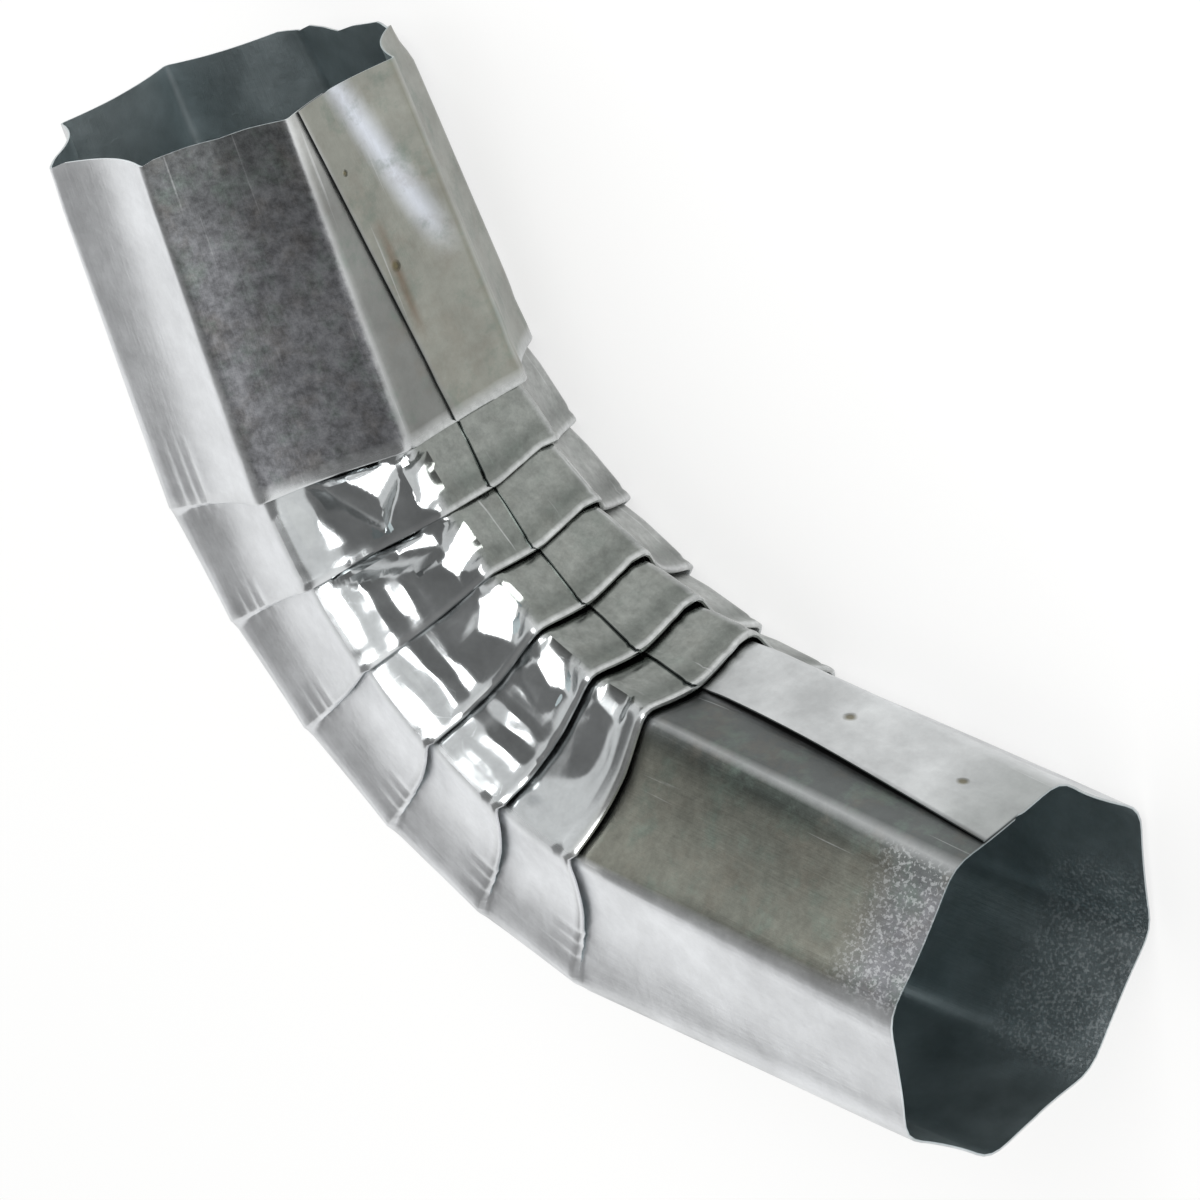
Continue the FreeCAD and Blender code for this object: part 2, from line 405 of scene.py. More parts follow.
            shrink = thin if wall else 0.0
            points = ring.points(angles, place - rise - shrink)
            if number:
                points = points + self.generators(number, angles) * moved[:, None]
            skins.append(points)
            shifts.append(moved)
        start = 0.0 if number == 0 else float(number)
        return Row(skins[0], skins[1], angles, start + np.minimum(shifts[0], 0.0) / length, below_lip)

    def fold_rows(self, number: int) -> list[Row]:
        """The rows over a pleat's lip, back under it, round its crease and out again."""
        outside = self.under / 2
        inside = self.fold_gap / 2
        rows = []
        steps = self.lip_rows - 1
        count = steps + 4
        for step in range(self.lip_rows):
            turn = math.pi * step / steps
            outer = (outside - outside * math.cos(turn), outside * math.sin(turn))
            inner = (outside - inside * math.cos(turn), inside * math.sin(turn))
            rows.append(self.row(number, outer, inner, step / count, 1 - 2 * step / steps, step / steps))
            rows[-1].worn_and_highlit = 1.0 - step / steps
        depth = self.pleat_depth - self.wall
        crease = (self.under + self.below) / 2
        tip = self.below + self.wall
        top = self.under - self.wall
        rows.append(self.row(number, (self.under, -depth), (top, -depth), (steps + 1) / count, -1, 1.0))
        rows.append(self.row(number, (crease, -depth - inside), (crease, -self.pleat_depth - inside),
                             (steps + 2) / count, -1, 1.0))
        rows.append(self.row(number, (self.below, -depth), (tip, -depth), (steps + 3) / count, -1, 1.0))
        rows.append(self.row(number, (self.below, 0.0), (tip, 0.0), 1.0, -1, 0.0, 1.0))
        return rows

    def strip(self, start: Row, end: Row, count: int, path: tuple[float, float]) -> list[Row]:
        """Rows in straight lines from one row to another, without both ends.

        Args:
            start: The row that the strip leaves.
            end: The row that it comes to.
            count: The number of lengths between the two.
            path: The strip's first and last place, in segments from the inlet rim.

        Returns:
            The rows in between.
        """
        rows = []
        for step in range(1, count):
            share = step / count
            outer = start.outer + (end.outer - start.outer) * share
            inner = start.inner + (end.inner - start.inner) * share
            angles = start.angles + (end.angles - start.angles) * share
            place = np.full_like(angles, path[0] + (path[1] - path[0]) * share)
            lifted = self.climbed(angles) * self.lap_gap(float(place[0]), angles)
            ends = self.climbed(angles) * (
                self.lap_gap(path[0] + 0.01, angles) * (1 - share) + self.lap_gap(path[1], angles) * share
            )
            out = self.outwards(angles, place) * (lifted - ends)[:, None]
            rows.append(Row(outer + out, inner + out, angles, place, 1.0))
        return rows

    def outwards(self, angles: np.ndarray, path: np.ndarray) -> np.ndarray:
        """The directions out of the tube at places on it."""
        tilt = np.interp(path, range(len(self.rings)), [ring.tilt for ring in self.rings])
        turn = np.radians(angles)
        return np.stack([np.sin(tilt) * np.cos(turn), np.cos(tilt) * np.cos(turn), np.sin(turn)], axis=1)

    def downstream(self, path: np.ndarray) -> np.ndarray:
        """The directions along the tube at places on it."""
        tilt = np.interp(path, range(len(self.rings)), [ring.tilt for ring in self.rings])
        return np.stack([np.cos(tilt), -np.sin(tilt), np.zeros_like(tilt)], axis=1)

    def rows(self) -> list[Row]:
        """All rows of the sheet from the inlet rim to the outlet rim."""
        last = len(self.rings) - 1
        rows = [self.row(0, (0.0, 0.0), (self.wall, 0.0), 0.0, 0, 0.0)]
        for number in range(1, last):
            folds = self.fold_rows(number)
            count = self.arm_rows[0] if number == 1 else self.pleat_rows
            rows += self.strip(rows[-1], folds[0], count, (number - 1.0, float(number)))
            rows += folds
        rim = self.row(last, (0.0, 0.0), (self.wall, 0.0), 0.0, 0, 0.0, 1.0)
        rows += self.strip(rows[-1], rim, self.arm_rows[1], (last - 1.0, float(last)))
        rows.append(rim)
        return rows


@dataclass(frozen=True)
class Facet:
    """A flat facet knocked into the sheet beside a ridge, between two lips.

    Each corner is given by its distance from the ridge, away from the throat, and from the lip before it, in
    millimetres. The depth is below the ridge, the lean is the plane's slope away from the throat and the
    fall is its slope downstream.
    """

    segment: int
    corners: tuple[tuple[float, float], ...]
    depth: float
    lean: float
    fall: float = 0.0

    def plane(self, aside: np.ndarray, along: np.ndarray) -> np.ndarray:
        """How deep the facet's plane lies below the ridge at each point, in millimetres."""
        middle = sum(corner[1] for corner in self.corners) / len(self.corners)
        return self.depth + self.lean * aside + self.fall * (along - middle)

    def outside(self, aside: np.ndarray, along: np.ndarray) -> np.ndarray:
        """How far each point lies outside the facet, in millimetres, and 0 within it."""
        gap = np.zeros_like(aside)
        for (aside_1, along_1), (aside_2, along_2) in zip(self.corners, self.corners[1:] + self.corners[:1]):
            length = math.hypot(aside_2 - aside_1, along_2 - along_1)
            side = (aside - aside_1) * (along_2 - along_1) - (along - along_1) * (aside_2 - aside_1)
            gap = np.maximum(gap, side / length)
        return gap


@dataclass(frozen=True)
class Pocket:
    """A dent in a flute with straight sides: where it lies, where it is deepest and how deep."""

    segment: int
    first_angle: float
    last_angle: float
    valley: float
    end: float
    depth: float


@dataclass(frozen=True)
class RimNick:
    """A place where the inlet's cut edge is torn back and bent in: degrees round the tube and millimetres."""

    angle: float
    reach: float
    back: float
    inward: float


@dataclass
class Handwork:
    """What pressing the pleats and rough use did to the sheet: sways, dents and buckled facets."""

    sway_side: float = 0.7
    sway_growth: float = 0.5
    throat_bow: float = 0.9
    side_bow: float = 0.7
    flap_bow: float = 1.6
    flute_deepening: float = 1.2
    lip_hollow: float = 0.55
    facet_ridge: float = 22.5
    facets: tuple[Facet, ...] = (
        Facet(2, ((1.5, 3.0), (14.0, 3.0), (10.0, 11.0)), 1.8, 0.21, -0.12),
        Facet(2, ((-2.0, 6.0), (1.5, 8.0), (3.5, 18.0), (-1.0, 17.0)), 2.3, 0.20, -0.15),
        Facet(3, ((3.5, 3.0), (13.0, 3.0), (4.5, 8.0)), 1.9, 0.22, -0.06),
        Facet(3, ((-2.0, 4.0), (1.0, 7.0), (7.0, 11.0), (5.0, 18.0), (-2.0, 14.0)), 2.4, 0.19, -0.06),
        Facet(4, ((-2.0, 4.0), (3.5, 3.5), (9.0, 10.0), (5.0, 19.0), (-2.0, 12.0)), 2.6, 0.20),
        Facet(5, ((-0.5, 4.5), (4.5, 5.0), (6.5, 13.0), (4.5, 17.5), (0.0, 12.0)), 2.2, 0.20, 0.12),
        Facet(6, ((0.0, 5.0), (3.0, 5.0), (4.0, 14.0), (0.5, 13.0)), 1.6, 0.18, 0.15),
    )
    pockets: tuple[Pocket, ...] = (
        Pocket(2, 50.0, 64.0, 0.38, 0.80, 1.7),
        Pocket(5, 30.0, 40.0, 0.55, 0.95, 0.9),
    )
    nicks: tuple[RimNick, ...] = (
        RimNick(112.5, 6.0, 0.9, 0.3),
        RimNick(-67.5, 6.0, 2.2, 1.8),
        RimNick(-112.5, 7.0, 1.2, 1.0),
        RimNick(67.5, 4.0, 0.6, 0.5),
        RimNick(-90.0, 7.0, 0.9, 0.0),
        RimNick(44.0, 9.0, 0.5, 0.4),
    )
    nick_length: float = 0.14
    pocket_side: float = 6.0
    facet_side: float = 0.5
    facet_reach: float = 3.5
    stripe_depth: float = 0.5
    fold_depth: float = 0.6
    groove_depth: float = 0.28
    pucker_depth: float = 0.3
    arm_wave: float = 0.35
    radius: float = 42.0
    pleat_length: float = 22.0

    def sway(self, angles: np.ndarray, path: np.ndarray) -> np.ndarray:
        """How far downstream the sheet has moved, in millimetres."""
        around = from_throat(angles)
        in_bend = smooth(path) * smooth(7.0 - path)
        side = self.sway_side + self.sway_growth * np.clip(path - 1, 0, 5)
        drift = np.interp(around, [-180, -120, -67, -22, 2, 22, 67, 112, 150, 180],
                          [0, 0.3, 0.9, 1.2, 1.0, 0.2, -0.5, -1.0, -0.5, 0])
        drift = np.where(around > 67, drift * side, drift)
        bows = self.throat_bow * hill(around, 40, 24) * smooth((path - 2.5) / 2)
        bows = bows + self.side_bow * hill(around, 88, 20) * smooth((path - 2) / 2)
        bows = bows - self.flap_bow * hill(around, -17, 17) * smooth(path - 1)
        return in_bend * (drift + bows) + self.nicked(around, path)[0]

    def nicked(self, around: np.ndarray, path: np.ndarray) -> tuple[np.ndarray, np.ndarray]:
        """How far the inlet's cut edge is torn back and how far it is bent in, in millimetres."""
        near_rim = smooth((self.nick_length - path) / self.nick_length)
        back = sum(nick.back * hill(around, nick.angle, nick.reach) for nick in self.nicks)
        inward = sum(nick.inward * hill(around, nick.angle, nick.reach) for nick in self.nicks)
        return near_rim * back, near_rim * inward

    @staticmethod
    def within_segment(path: np.ndarray, below_lip: float) -> tuple[np.ndarray, np.ndarray]:
        """Which segment each point belongs to, and its share of the way along it."""
        if below_lip > 0:
            return np.floor(path) + 1, path - np.floor(path)
        return np.ceil(path), 1 - (np.ceil(path) - path)

    def levelled(self, aside: np.ndarray, surface: np.ndarray, path: np.ndarray, below_lip: float) -> np.ndarray:
        """How much deeper the facets lie than the surface that they were knocked into.

        Args:
            aside: Distances from the ridge beside the throat, in millimetres.
            surface: How deep the sheet lies below that ridge, in millimetres.
            path: Places along the tube, in segments from the inlet rim.
            below_lip: 1 where the points belong to the segment that starts under a lip.

        Returns:
            The further depth, in millimetres, less than 0 where the sheet was bulged out.
        """
        segment, within = self.within_segment(path, below_lip)
        flat = surface
        for facet in self.facets:
            plane = facet.plane(aside, within * self.pleat_length)
            gap = facet.outside(aside, within * self.pleat_length)
            give = self.facet_side * gap * (1 + gap / 6)
            near = (segment == facet.segment) * (1 - smooth((gap - self.facet_reach) / self.facet_reach))
            flat = flat + near * (np.clip(flat, plane - give, plane + give) - flat)
        return (flat - surface) * smooth(within / 0.1) * smooth((1 - within) / 0.1)

    def pocketed(self, around: np.ndarray, segment: np.ndarray, within: np.ndarray) -> np.ndarray:
        """How deep the dents in the flutes are, in millimetres."""
        depth = np.zeros_like(within)
        for pocket in self.pockets:
            sides = np.minimum(around - pocket.first_angle, pocket.last_angle - around) / self.pocket_side
            ends = np.minimum(within / pocket.valley, (pocket.end - within) / (pocket.end - pocket.valley))
            depth = depth + (segment == pocket.segment) * pocket.depth * np.clip(np.minimum(sides, ends), 0, 1)
        return depth

    def buckles(self, around: np.ndarray, path: np.ndarray, within: np.ndarray) -> np.ndarray:
        """How deep the flat-sided buckles between the pleats are, where ridges and flutes gave way.

        Args:
            around: Angles from the throat.
            path: Places along the tube, in segments from the inlet rim.
            within: The same within the segment, from 0 at its start to 1 at its lip.

        Returns:
            The depth at each point, in millimetres.
        """
        across = np.radians(around) * self.radius
        along = path * self.pleat_length
        number = np.ceil(path)
        stripes = zigzag((around - 61.0) / 11.0 + 0.04 * np.sin(number * 1.7)) + 1
        lined = plateau(around, 46, 63, 3) * plateau(path, 2.1, 4.8, 0.4) * hill(within, 0.5, 0.55) ** 0.5
        depth = self.stripe_depth * stripes * lined
        folds = zigzag((across * 0.8 + along * 0.6) / 23.0 + 0.13) + 0.8 * zigzag((across * 0.5 - along * 0.86) / 19.0 + 0.41)
        field_share = plateau(around, 31, 58, 6) * smooth((path - 1.0) / 0.1) * smooth((5.9 - path) / 0.4)
        return depth + self.fold_depth * (folds + 1.8) * field_share * hill(within, 0.5, 0.55) ** 0.5

    def dents(self, angles: np.ndarray, path: np.ndarray, below_lip: float) -> np.ndarray:
        """How far the sheet is pushed in, in millimetres.

        Args:
            angles: Angles round the tube.
            path: Places along it, in segments from the inlet rim.
            below_lip: 1 where the points belong to the segment that starts under a lip.

        Returns:
            The depth at each point.
        """
        around = from_throat(angles)
        off_throat = np.abs(around)
        turns = (around - FIRST_RIDGE) / RIDGE_STEP
        share = turns - np.floor(turns)
        flute = 4 * share * (1 - share)
        in_bend = smooth((path - 0.75) / 0.5) * smooth((6.5 - path) / 0.6)
        skewed = np.where((around > 22.5) & (around < 67.5), 1.7 * share, 1.0)
        depth = self.flute_deepening * flute * skewed * in_bend * (1 - smooth((off_throat - 95) / 30))

        starting = below_lip * (path >= 1.0)
        segment, within = self.within_segment(path, below_lip)
        run = np.where(path > 6.0, (path - 6.0) * 3.5, within)
        sunk = np.clip(1 - run / 0.3, 0, 1) * (1 - smooth((off_throat - 86) / 27))
        depth = depth + starting * self.lip_hollow * sunk

        pleated = ((path > 1.0) & (path < 6.0)).astype(float)
        depth = depth + pleated * self.buckles(around, path, within)
        depth = depth + self.pocketed(around, segment, within) + self.nicked(around, path)[1]

        from_lip = np.where((path <= 6.0) & (path > 0.8), (1 - within) * self.pleat_length, 99.0)
        groove = np.exp(-((from_lip - 2.6) / 0.9) ** 2) * (1 - smooth((off_throat - 70) / 30))
        depth = depth + self.groove_depth * groove
        puckers = (zigzag(around / 4.3) + 1) * plateau(around, 97, 108, 3) * np.clip(1 - from_lip / 7, 0, 1)
        depth = depth + self.pucker_depth * puckers

        across = np.radians(around) * self.radius
        along = path * self.pleat_length
        slow = np.sin(across / 9.0 + 1.3) * np.sin(along / 14.0 + 0.7) + 0.6 * np.sin(across / 5.3 - along / 17.0 + 2.1)
        return depth + self.arm_wave * (slow * 0.5 + 0.5) * (0.1 + 0.9 * flute) * (1 - in_bend * 0.6)


@dataclass
class Wear:
    """Where the sheet is stained, bright, pale or rubbed, and where shade, a shadow, highlights and glints are painted
    on it, each from 0 to 1.
    """

    seams: tuple[float, float, float]

    def marks(self, around: np.ndarray, path: np.ndarray, worn_and_highlit: np.ndarray, lap_shadow: np.ndarray) -> dict[str, np.ndarray]:
        """The share of each mark at every point.

        Args:
            around: Angles from the throat.
            path: Places along the tube, in segments from the inlet rim.
            worn_and_highlit: 1 on the rolled edge of a lip, which is rubbed bright and has a painted highlight.
            lap_shadow: 1 where the shadow in the gap under the lap's edge is painted.

        Returns:
            One array for each mark's name.
        """
        seam = np.interp(path, [0, 1, 6, 7], [self.seams[0], self.seams[1], self.seams[1], self.seams[2]])
        on_inlet = smooth((1.0 - path) / 0.02)
        on_outlet = smooth((path - 6.0) / 0.03)
        in_bend = (1 - on_inlet) * (1 - on_outlet)
        flap = plateau(around - seam, -90, -0.2, 0.4) * plateau(around, -22, 60, 1.5)
        facing = plateau(around, 23.5, 66.8, 1.2)
        ridges = sum(hill(around, ridge, 2.2) for ridge in (22.5, 67.5, -22.5, -67.5, 112.5))
        olive = 0.95 * flap * on_inlet + 0.5 * plateau(around, 0, 22, 1.5) * (1 - flap) * on_inlet
        strip = plateau(around - seam, 0.2, 90, 0.4) * plateau(around, 0, 22, 1.5) * on_inlet
        olive = olive + facing * plateau(around, 30, 80, 7) * plateau(path, 6.05, 6.78, 0.14)
        olive = olive + 0.8 * plateau(around, -67, -22, 2) * on_inlet
        olive = olive + 0.3 * plateau(around, -66, 18, 5) * in_bend
        drift = around + 1 + 27 * path
        return {
            # On the strip beside the seam the patina fades out near the inlet rim, which leaves room for the painted
            # highlight there.
            "patina": facing * on_inlet + plateau(around, seam, 66.8, 1.2) * on_outlet
            + 0.9 * strip * smooth((path - 0.02) / 0.3),
            "pitted": facing * on_inlet + 0.35 * facing * on_outlet + 0.45 * plateau(around, -66, 21, 3) * in_bend,
            "olive": olive,
            # Painted highlight: a pale bluish streak slanting across the sheet near the inlet rim, by the throat.
            "highlight_streak": hill(drift, 0, 6.5) * plateau(path, 0.03, 0.4, 0.2),
            # Pale: the side panel from 68 to 112 degrees and part of the outlet's lap; on the inlet strip beside the
            # seam, near the rim, a painted highlight.
            "pale": plateau(around, 67.8, 112, 1.2) + 0.3 * flap * on_outlet + 0.8 * strip * smooth((0.3 - path) / 0.3),
            "worked": plateau(around, -30, 66.8, 4.0) * in_bend * smooth((6.3 - path) / 0.4),
            "shaded": plateau(around, -30, 20, 6) * in_bend + 0.45 * plateau(around, -80, -30, 6) * in_bend
            + flap * on_outlet * (0.25 + 0.5 * smooth((path - 6.7) / 0.25)),
            # Rubbed bright and painted highlight: the rolled lip edges and a thin line along each ridge.
            "worn_and_highlit": np.clip(worn_and_highlit * (np.abs(around) < 115) + 0.6 * ridges, 0, 1),
            "rust": hill(around, 4, 2.4) * plateau(path, 0.5, 0.62, 0.16),
            # Painted shadow in the gap under the lap's edge.
            "lap_shadow": lap_shadow,
            # Painted shade: a dark band before each lip in the bend. The same dark colour also lies between the seam
            # and its ridge on the outlet, on the facing panel near the inlet rim and where the outlet arm starts, and
            # on the inlet strip beside the seam away from the rim.
            "shade_and_smudge": 0.75 * plateau(around, -64, 16, 9) * in_bend * hill(path - np.floor(path), 0.8, 0.25)
            + plateau(around - seam, 0, 90, 0.4) * plateau(around, 0, 27, 8) * on_outlet
            + 0.5 * facing * hill(path, 6.45, 0.4) + 0.7 * facing * smooth((0.35 - path) / 0.35)
            + 0.25 * strip * smooth((path - 0.3) / 0.3),
            # White flecks near the outlet rim: zinc bloom, and painted glints.
            "bloom_and_glints": 0.35 * facing * plateau(path, 6.86, 7.2, 0.1)
            + 0.3 * plateau(around, -156, -100, 12) * plateau(path, 6.78, 7.2, 0.15),
        }


class Skin(Enum):
    """The two sides of the sheet."""

    OUTSIDE = 0.0
    INSIDE = 1.0


@dataclass
class SheetMesh:
    """Turns the tube's rows into one closed mesh, with the marks that its finish follows."""

    tube: PleatedTube
    work: Handwork

    def placed(self) -> tuple[np.ndarray, ...]:
        """Both skins' points with the handwork done, and where each lies on the tube."""
        outer, inner, angles, paths, outwards, worn_and_highlit = [], [], [], [], [], []
        for row in self.tube.rows():
            out = self.tube.outwards(row.angles, row.path)
            moved = self.tube.downstream(row.path) * self.work.sway(row.angles, row.path)[:, None]
            moved = moved - out * self.work.dents(row.angles, row.path, row.below_lip)[:, None]
            moved = moved + self.faceted(row, out, moved)
            outer.append(row.outer + moved)
            inner.append(row.inner + moved)
            angles.append(row.angles)
            paths.append(row.path)
            outwards.append(out)
            worn_and_highlit.append(np.full_like(row.angles, row.worn_and_highlit))
        return tuple(np.array(part) for part in (outer, inner, angles, paths, outwards, worn_and_highlit))

    def faceted(self, row: Row, out: np.ndarray, moved: np.ndarray) -> np.ndarray:
        """How the facets beside the throat move one row of points, in millimetres."""
        around = from_throat(row.angles)
        ridge = int(np.argmin(np.abs(around - self.work.facet_ridge)))
        level = out[ridge]
        away = row.outer + moved - row.outer[ridge]
        surface = -(away @ level)
        aside = np.sign(around - self.work.facet_ridge) * np.linalg.norm(away + surface[:, None] * level, axis=1)
        further = self.work.levelled(aside, surface, row.path, row.below_lip)
        return -further[:, None] * level * (np.abs(around - self.work.facet_ridge) < 40)[:, None]

    @staticmethod
    def faces(rows: int, columns: int) -> np.ndarray:
        """The four corners of each face: both skins, the two long edges and the two rims."""
        number = np.arange(rows * columns).reshape(rows, columns)
        other = number + rows * columns

        def quads(first: np.ndarray, second: np.ndarray, third: np.ndarray, fourth: np.ndarray) -> np.ndarray:
            """The faces between four lists of corners."""
            return np.stack([part.ravel() for part in (first, second, third, fourth)], axis=1)

        return np.concatenate([
            quads(number[:-1, :-1], number[1:, :-1], number[1:, 1:], number[:-1, 1:]),
            quads(other[:-1, :-1], other[:-1, 1:], other[1:, 1:], other[1:, :-1]),
            quads(number[:-1, 0], other[:-1, 0], other[1:, 0], number[1:, 0]),
            quads(number[:-1, -1], number[1:, -1], other[1:, -1], other[:-1, -1]),
            quads(number[0, :-1], number[0, 1:], other[0, 1:], other[0, :-1]),
            quads(number[-1, :-1], other[-1, :-1], other[-1, 1:], number[-1, 1:]),
        ])

    def mesh(self, name: str) -> bpy.types.Mesh:
        """The sheet's mesh, in metres, with the attributes that the finish reads.

        Args:
            name: The mesh's name.

        Returns:
            A closed mesh.
        """
        outer, inner, angles, paths, outwards, worn_and_highlit = self.placed()
        rows, columns = angles.shape
        points = np.concatenate([outer.reshape(-1, 3), inner.reshape(-1, 3)]) * MM
        quads = self.faces(rows, columns)
        mesh = bpy.data.meshes.new(name)
        mesh.vertices.add(len(points))
        mesh.vertices.foreach_set("co", points.ravel())
        mesh.loops.add(quads.size)
        mesh.loops.foreach_set("vertex_index", quads.ravel())
        mesh.polygons.add(len(quads))
        mesh.polygons.foreach_set("loop_start", np.arange(0, quads.size, 4))
        mesh.update(calc_edges=True)
        mesh.validate()

        around = np.tile(angles.ravel(), 2)
        path = np.tile(paths.ravel(), 2)
        inside = np.repeat([Skin.OUTSIDE.value, Skin.INSIDE.value], rows * columns)
        wear = Wear(self.tube.seams)
        worn_and_highlit = np.tile(worn_and_highlit.ravel(), 2) * (1 - inside)
        marks = wear.marks(from_throat(around), path, worn_and_highlit, self.lap_shadow(rows, columns))
        for label, values in {"inside": inside, **marks}.items():
            mesh.attributes.new(label, "FLOAT", "POINT").data.foreach_set("value", values.astype(np.float32))
        both = np.tile(outwards.reshape(-1, 3), (2, 1))
        mesh.attributes.new("outwards", "FLOAT_VECTOR", "POINT").data.foreach_set("vector", both.astype(np.float32).ravel())

        stops = self.path_lengths()
        length = np.interp(path, range(len(stops)), stops)
        flat = np.stack([sheet_width(around) * MM, length * MM], axis=1)
        layer = mesh.uv_layers.new(name="sheet")
        layer.data.foreach_set("uv", flat[quads.ravel()].astype(np.float32).ravel())
        mesh.shade_smooth()
        mesh.set_sharp_from_angle(angle=math.radians(38))
        return mesh

    def lap_shadow(self, rows: int, columns: int) -> np.ndarray:
        """1 for each point where the shadow in the gap under the lap is painted dark, which shows on the outlet arm."""
        marked = np.zeros((2, rows, columns))
        marked[0, :, :self.tube.columns[0]] = 1.0
        marked[0, -self.tube.arm_rows[1]:, self.tube.columns[0]] = 1.0
        marked[1, :, -self.tube.columns[-1] - 1:] = 1.0
        return marked.ravel()

    def path_lengths(self) -> list[float]:
        """The centre line's length from the inlet rim to each ring, in millimetres."""
        centres = [ring.centre for ring in self.tube.rings]
        steps = [float(np.linalg.norm(after - before)) for before, after in zip(centres, centres[1:])]
        return [sum(steps[:number]) for number in range(len(centres))]


@dataclass
class UnevenSheet:
    """A Geometry Nodes tree that gives rolled sheet its slight waviness and its material."""

    depth: float = 0.16
    grain: float = 16.0
    seed: int = 7

    def tree(self) -> bpy.types.NodeTree:
        """Builds the tree with inputs for the waves' depth, their size, the seed and the material."""
        tree = bpy.data.node_groups.new("uneven_sheet", "GeometryNodeTree")
        tree.interface.new_socket("Geometry", in_out="INPUT", socket_type="NodeSocketGeometry")
        tree.interface.new_socket("Depth", in_out="INPUT", socket_type="NodeSocketFloat")
        tree.interface.new_socket("Grain", in_out="INPUT", socket_type="NodeSocketFloat")
        tree.interface.new_socket("Seed", in_out="INPUT", socket_type="NodeSocketFloat")
        tree.interface.new_socket("Material", in_out="INPUT", socket_type="NodeSocketMaterial")
        tree.interface.new_socket("Geometry", in_out="OUTPUT", socket_type="NodeSocketGeometry")
        start = add_node(tree, "NodeGroupInput")
        scale = add_node(tree, "ShaderNodeMath", {0: 1.0, 1: start.outputs["Grain"]}, operation="DIVIDE")
        noise = add_node(
            tree, "ShaderNodeTexNoise",
            {"W": start.outputs["Seed"], "Scale": scale.outputs[0], "Detail": 2.0, "Roughness": 0.5},
            noise_dimensions="4D",
        )
        inward = add_node(tree, "ShaderNodeMath", {0: noise.outputs[0], 1: -1.0}, operation="MULTIPLY")
        worked = add_node(tree, "GeometryNodeInputNamedAttribute", {"Name": "worked"}, data_type="FLOAT")
        calm = add_node(tree, "ShaderNodeMapRange", {"Value": worked.outputs["Attribute"], "To Min": 1.0, "To Max": 0.3})
        depth = add_node(tree, "ShaderNodeMath", {0: calm.outputs[0], 1: start.outputs["Depth"]}, operation="MULTIPLY")
        push = add_node(tree, "ShaderNodeMath", {0: inward.outputs[0], 1: depth.outputs[0]}, operation="MULTIPLY")
        out = add_node(tree, "GeometryNodeInputNamedAttribute", {"Name": "outwards"}, data_type="FLOAT_VECTOR")
        offset = add_node(
            tree, "ShaderNodeVectorMath", {0: out.outputs["Attribute"], "Scale": push.outputs[0]}, operation="SCALE"
        )
        moved = add_node(
            tree, "GeometryNodeSetPosition", {"Geometry": start.outputs["Geometry"], "Offset": offset.outputs[0]}
        )
        real = add_node(tree, "GeometryNodeRealizeInstances", {"Geometry": moved.outputs[0]})
        dressed = add_node(
            tree, "GeometryNodeSetMaterial", {"Geometry": real.outputs[0], "Material": start.outputs["Material"]}
        )
        add_node(tree, "NodeGroupOutput", {"Geometry": dressed.outputs[0]})
        return tree


def settle(piece: bpy.types.Object, tree: bpy.types.NodeTree, inputs: dict[str, object]) -> bpy.types.Object:
    """Runs a Geometry Nodes tree on a piece and keeps the result as its plain mesh.

    Args:
        piece: The piece whose mesh the tree starts from.
        tree: The Geometry Nodes tree.
        inputs: The tree's named inputs and their values.

    Returns:
        The same piece with its new mesh and no modifier.
    """
    modifier = piece.modifiers.new(tree.name, "NODES")
    modifier.node_group = tree
    for item in tree.interface.items_tree:
        if item.item_type == "SOCKET" and item.in_out == "INPUT" and item.name in inputs:
            modifier[item.identifier] = inputs[item.name]
    depsgraph = bpy.context.evaluated_depsgraph_get()
    result = bpy.data.meshes.new_from_object(piece.evaluated_get(depsgraph))
    piece.modifiers.remove(modifier)
    piece.data = result
    return piece


